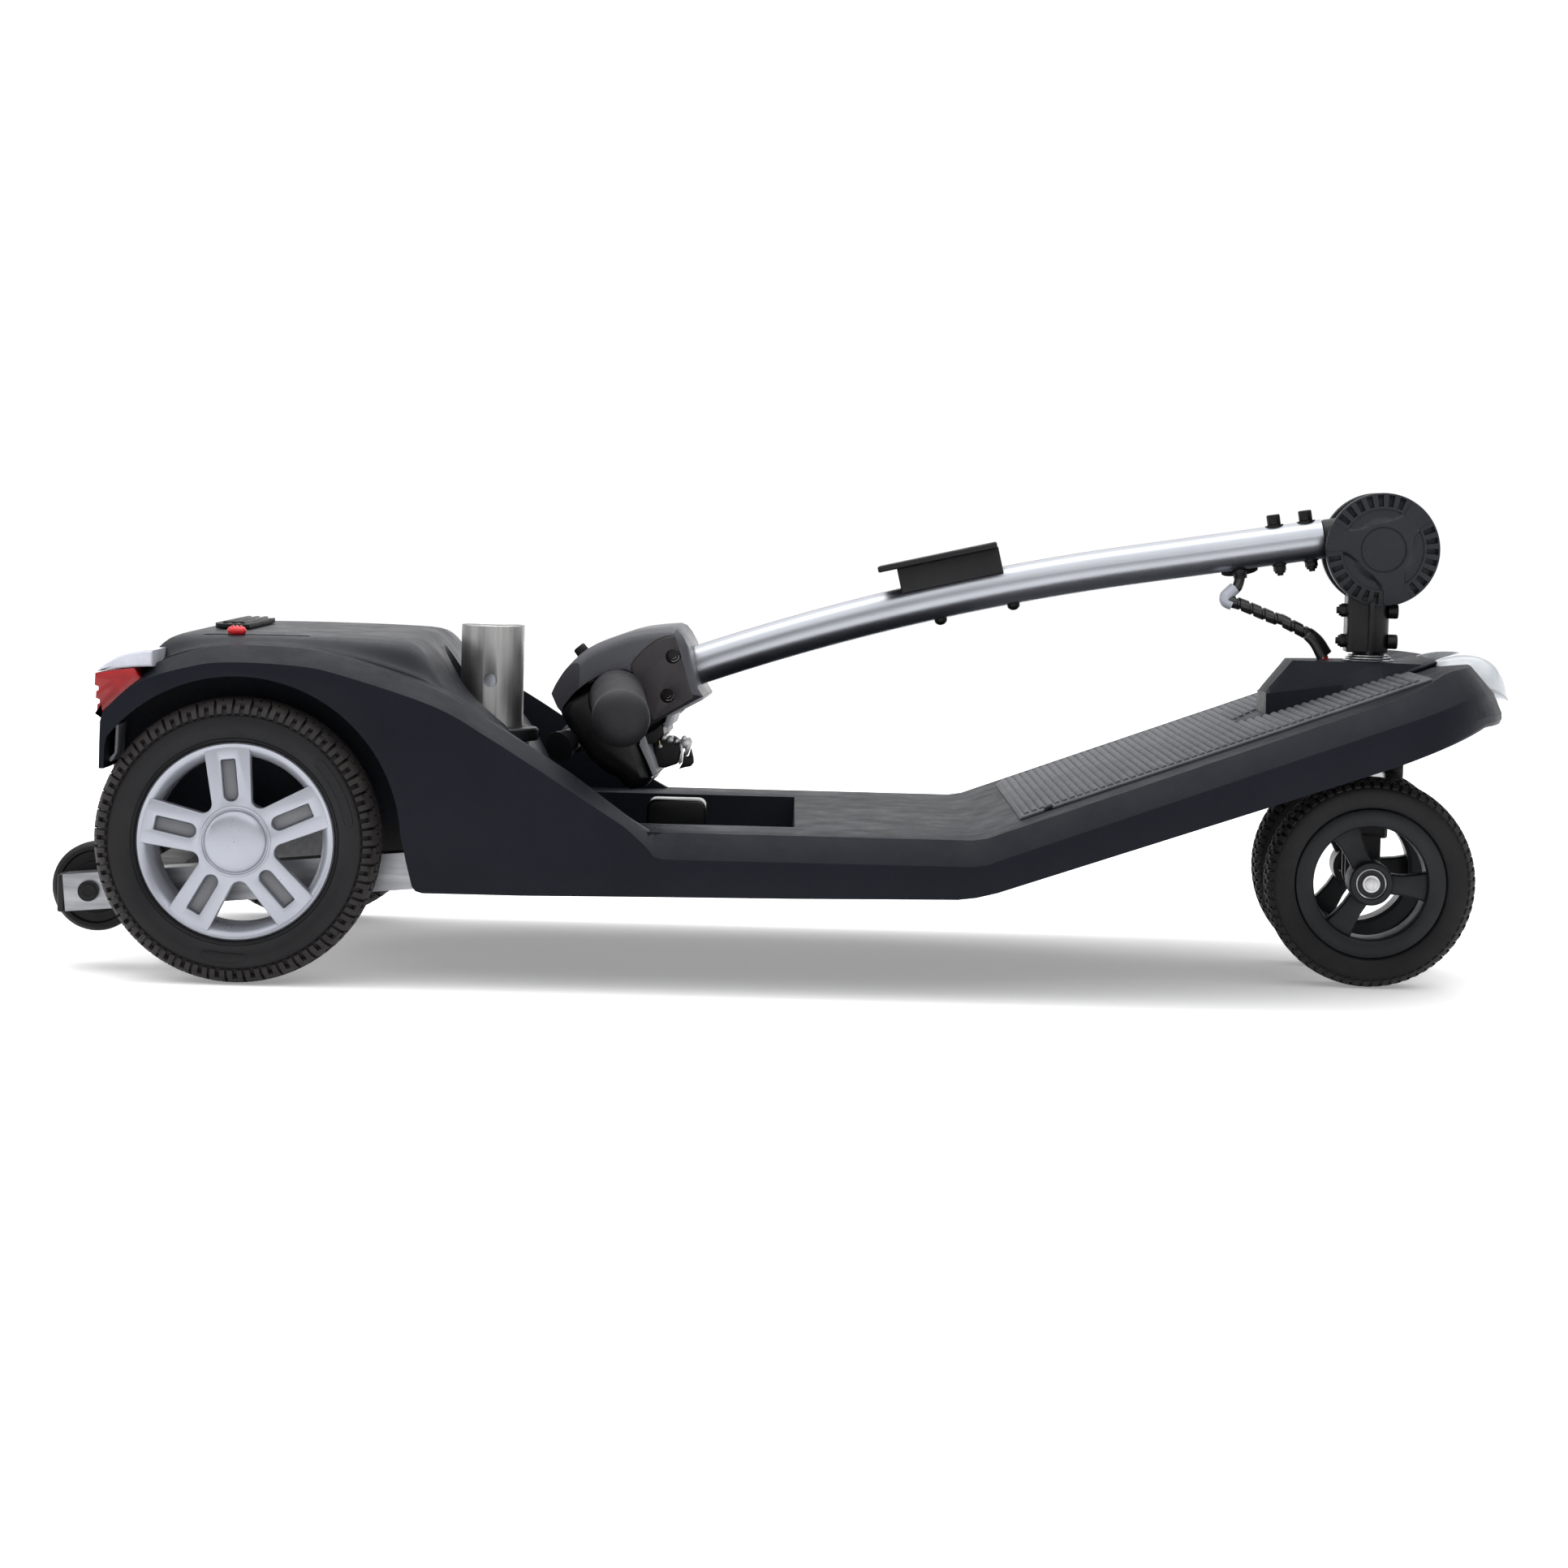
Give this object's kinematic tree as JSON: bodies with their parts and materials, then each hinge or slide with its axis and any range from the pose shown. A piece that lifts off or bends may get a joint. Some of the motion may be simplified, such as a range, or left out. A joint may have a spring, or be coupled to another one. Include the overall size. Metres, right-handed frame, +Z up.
{
  "type": "folding mobility scooter",
  "caption": "Folding electric mobility scooter, tiller folded over the deck, with rear drive wheels, twin steered front wheels, anti-tip wheels and a seat post tube.",
  "frame": {"origin": "on the ground under the middle of the overall length and width", "axes": "+X forward along the length, +Y to the rider's left, +Z up"},
  "size_m": [1.0115, 0.474, 0.345],
  "materials": {
    "shell_plastic": "textured, dark blue-grey",
    "black_plastic": "satin, black",
    "mat_rubber": "matt, black",
    "tyre_rubber": "matt, black",
    "rim_silver": "silver painted",
    "silver_paint": "silver painted steel tube",
    "black_paint": "satin black powder coat",
    "anodised_tube": "satin anodised",
    "raw_steel": "zinc plated",
    "cast_alloy": "as cast",
    "red_lens": "glossy",
    "clear_lens": "glossy, frosted",
    "red_plastic": "glossy"
  },
  "bodies": {
    "chassis": {"frame_rail_right": "silver_paint", "frame_rail_left": "silver_paint", "rear_cross_tube": "black_paint", "middle_cross_tube": "black_paint", "front_cross_bracket": "black_paint", "head_tube": "silver_paint", "headset_bearing": "raw_steel", "deck_shroud": "shell_plastic", "headlight_lens": "clear_lens", "foot_mat": "mat_rubber", "front_shroud": "shell_plastic", "side_panel_right": "shell_plastic", "side_panel_left": "shell_plastic", "rear_cover": "shell_plastic", "rear_grip_bar": "black_plastic", "tail_light_right": "red_lens", "tail_light_left": "red_lens", "seat_post_socket": "black_plastic", "seat_post_tube": "raw_steel", "transaxle_housing": "cast_alloy", "drive_motor": "black_plastic", "motor_controller": "black_plastic", "battery_connector": "black_plastic", "anti_tip_bolt_right": "black_plastic", "anti_tip_bolt_left": "black_plastic", "cable_lower": "mat_rubber"},
    "freewheel_lever": {"freewheel_slider": "red_plastic"},
    "rear_wheel_right": {"rear_tyre_right": "tyre_rubber", "rear_rim_right": "rim_silver", "hub_cap_right": "rim_silver", "half_shaft_right": "raw_steel"},
    "rear_wheel_left": {"rear_tyre_left": "tyre_rubber", "rear_rim_left": "rim_silver", "hub_cap_left": "rim_silver", "half_shaft_left": "raw_steel"},
    "anti_tip_wheel_right": {"anti_tip_wheel_right": "tyre_rubber"},
    "anti_tip_wheel_left": {"anti_tip_wheel_left": "tyre_rubber"},
    "steering_column": {"steering_stem": "raw_steel", "stem_clamp": "black_plastic", "fold_pin": "raw_steel", "fork_carrier": "black_paint", "front_axle": "raw_steel", "cable_upper": "mat_rubber"},
    "front_wheel_right": {"front_tyre_right": "tyre_rubber", "front_rim_right": "black_plastic"},
    "front_wheel_left": {"front_tyre_left": "tyre_rubber", "front_rim_left": "black_plastic"},
    "tiller": {"tiller_tube": "anodised_tube", "hinge_plug": "black_plastic", "fold_cover_right": "black_plastic", "fold_cover_left": "black_plastic", "tube_bracket": "black_plastic", "console_upper_shell": "shell_plastic", "console_lower_shell": "black_plastic", "handlebar": "raw_steel", "grip_right": "mat_rubber", "grip_left": "mat_rubber", "bag_hook": "black_plastic"},
    "throttle": {"throttle_lever": "black_plastic"},
    "dial": {"speed_dial": "black_plastic"}
  },
  "joints": [
    {"name": "tiller_fold", "type": "hinge", "parent": "steering_column", "child": "tiller", "pos_m": [0.41149, -0.00027, 0.305], "axis": [0.0489, 0.9988, 0], "range_deg": [0, 83], "deforming": ["cable_upper"]},
    {"name": "steering", "type": "hinge", "parent": "chassis", "child": "steering_column", "pos_m": [0.406, 0, 0.18], "axis": [0, 0, 1], "range_deg": [-37.2, 42.8], "deforming": ["cable_lower"]},
    {"name": "front_wheel_right_spin", "type": "hinge", "parent": "steering_column", "child": "front_wheel_right", "pos_m": [0.40278, -0.06592, 0.0735], "axis": [0.0489, 0.9988, 0], "continuous": true},
    {"name": "front_wheel_left_spin", "type": "hinge", "parent": "steering_column", "child": "front_wheel_left", "pos_m": [0.40922, 0.06592, 0.0735], "axis": [0.0489, 0.9988, 0], "continuous": true},
    {"name": "rear_wheel_right_spin", "type": "hinge", "parent": "chassis", "child": "rear_wheel_right", "pos_m": [-0.369, -0.21, 0.095], "axis": [0, 1, 0], "continuous": true},
    {"name": "rear_wheel_left_spin", "type": "hinge", "parent": "chassis", "child": "rear_wheel_left", "pos_m": [-0.369, 0.21, 0.095], "axis": [0, 1, 0], "continuous": true},
    {"name": "anti_tip_wheel_right_spin", "type": "hinge", "parent": "chassis", "child": "anti_tip_wheel_right", "pos_m": [-0.475, -0.132, 0.054], "axis": [0, 1, 0], "continuous": true},
    {"name": "anti_tip_wheel_left_spin", "type": "hinge", "parent": "chassis", "child": "anti_tip_wheel_left", "pos_m": [-0.475, 0.132, 0.054], "axis": [0, 1, 0], "continuous": true},
    {"name": "throttle_rock", "type": "hinge", "parent": "tiller", "child": "throttle", "pos_m": [-0.15353, 0.02737, 0.1584], "axis": [-0.8294, 0.0406, -0.5572], "range_deg": [-15, 15], "stiffness_Nm_per_rad": 0.6},
    {"name": "speed_dial_turn", "type": "hinge", "parent": "tiller", "child": "dial", "pos_m": [-0.15321, 0.00733, 0.2155], "axis": [-0.6427, 0.0314, 0.7655], "range_deg": [-135, 135]},
    {"name": "freewheel_slide", "type": "slide", "parent": "chassis", "child": "freewheel_lever", "axis": [1, 0, 0], "range_m": [-0.016, 0.044]}
  ]
}
